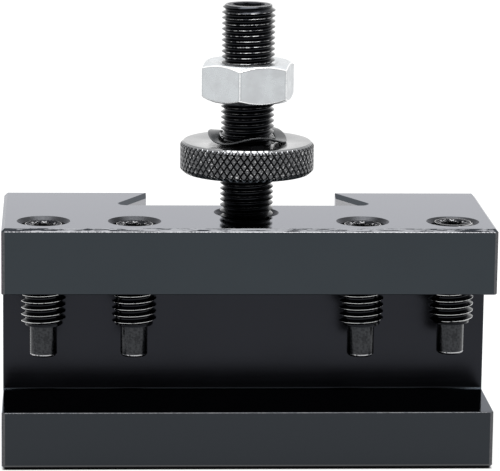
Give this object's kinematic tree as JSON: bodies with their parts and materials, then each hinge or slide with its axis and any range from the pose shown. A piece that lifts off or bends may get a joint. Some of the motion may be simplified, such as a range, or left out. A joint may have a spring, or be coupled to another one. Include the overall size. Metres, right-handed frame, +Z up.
{
  "type": "quick change tool holder",
  "caption": "Dovetailed turning and facing tool holder for a quick change lathe tool post, with dog point clamp screws and a knurled height stop on a locked stud.",
  "frame": {"origin": "centre of the holder block's bottom face", "axes": "+X along the tool slot, -Y towards the slot side, +Y towards the dovetail side, +Z up along the stud"},
  "size_m": [0.11, 0.044, 0.1022],
  "materials": {
    "black_oxide_block": "ground and black oxide",
    "black_oxide_fastener": "black oxide",
    "black_oxide_knurl": "black oxide, diamond knurl",
    "spring_steel": "dark tempered spring steel",
    "zinc_plate": "bright zinc plate"
  },
  "bodies": {
    "holder": {"holder_body": "black_oxide_block", "height_stud": "black_oxide_fastener"},
    "clamp_screw_1": {"clamp_screw_1": "black_oxide_fastener"},
    "clamp_screw_2": {"clamp_screw_2": "black_oxide_fastener"},
    "clamp_screw_3": {"clamp_screw_3": "black_oxide_fastener"},
    "clamp_screw_4": {"clamp_screw_4": "black_oxide_fastener"},
    "wave_washer": {"wave_washer": "spring_steel"},
    "knurled_stop_nut": {"knurled_stop_nut": "black_oxide_knurl"},
    "hex_lock_nut": {"hex_lock_nut": "zinc_plate"}
  },
  "joints": [
    {"name": "clamp_screw_1_travel", "type": "slide", "parent": "holder", "child": "clamp_screw_1", "axis": [0, 0, -1], "range_m": [-0.0155, 0.011]},
    {"name": "clamp_screw_2_travel", "type": "slide", "parent": "holder", "child": "clamp_screw_2", "axis": [0, 0, -1], "range_m": [-0.0155, 0.011]},
    {"name": "clamp_screw_3_travel", "type": "slide", "parent": "holder", "child": "clamp_screw_3", "axis": [0, 0, -1], "range_m": [-0.0155, 0.011]},
    {"name": "clamp_screw_4_travel", "type": "slide", "parent": "holder", "child": "clamp_screw_4", "axis": [0, 0, -1], "range_m": [-0.01495, 0.01155]},
    {"name": "stop_travel", "type": "slide", "parent": "holder", "child": "wave_washer", "axis": [0, 0, 1], "range_m": [-0.0094, 0.0036]},
    {"name": "stop_nut_turn", "type": "hinge", "parent": "wave_washer", "child": "knurled_stop_nut", "pos_m": [0, -0.0025, 0.0678], "axis": [0, 0, 1], "range_deg": [-2678.4, 1008]},
    {"name": "lock_nut_travel", "type": "slide", "parent": "holder", "child": "hex_lock_nut", "axis": [0, 0, 1], "range_m": [-0.0036, 0.0126]}
  ],
  "couplings": [
    {"joint": "stop_travel", "follows": "stop_nut_turn", "m_per_rad": 0.00019894}
  ]
}
